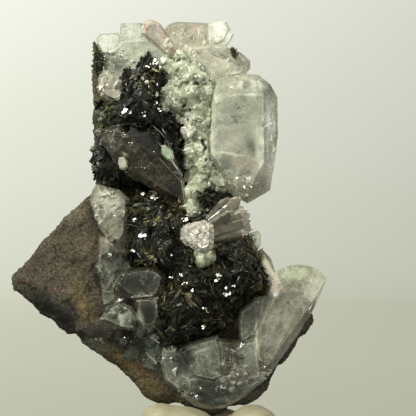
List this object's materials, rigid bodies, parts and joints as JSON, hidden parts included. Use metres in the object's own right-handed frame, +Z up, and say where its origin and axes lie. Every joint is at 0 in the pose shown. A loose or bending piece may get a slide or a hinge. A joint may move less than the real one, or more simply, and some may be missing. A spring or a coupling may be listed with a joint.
{
  "type": "harlequin quartz mineral specimen",
  "caption": "Clear red-flecked quartz with black epidote and pale green prehnite on brown rock, standing in a lump of display putty.",
  "frame": {"origin": "middle of the object's footprint box, on the surface that it stands on", "axes": "+Z up, +X to the right as seen from the crystal side, +Y away from that side, towards the plain rock"},
  "size_m": [0.0716, 0.0346, 0.0981],
  "materials": {
    "rock": "rough brown matrix with rust and olive stains",
    "quartz": "clear to milky crystal faces",
    "smoky_quartz": "clear smoky crystal faces",
    "epidote": "glassy black-green blades",
    "prehnite": "waxy, pale green and rounded",
    "putty": "matt beige putty"
  },
  "bodies": {
    "root": {"matrix_rock": "rock", "upper_quartz": "quartz", "lower_right_quartz": "quartz", "lower_left_quartz": "quartz", "harlequin_quartz": "quartz", "green_quartz": "quartz", "smoky_quartz": "smoky_quartz", "pale_crystal": "quartz", "green_crystal": "quartz", "prehnite_crust": "prehnite", "prehnite_button": "prehnite", "upper_epidote": "epidote", "lower_epidote": "epidote", "epidote_column": "epidote", "epidote_chip": "epidote", "display_putty": "putty"}
  },
  "joints": []
}
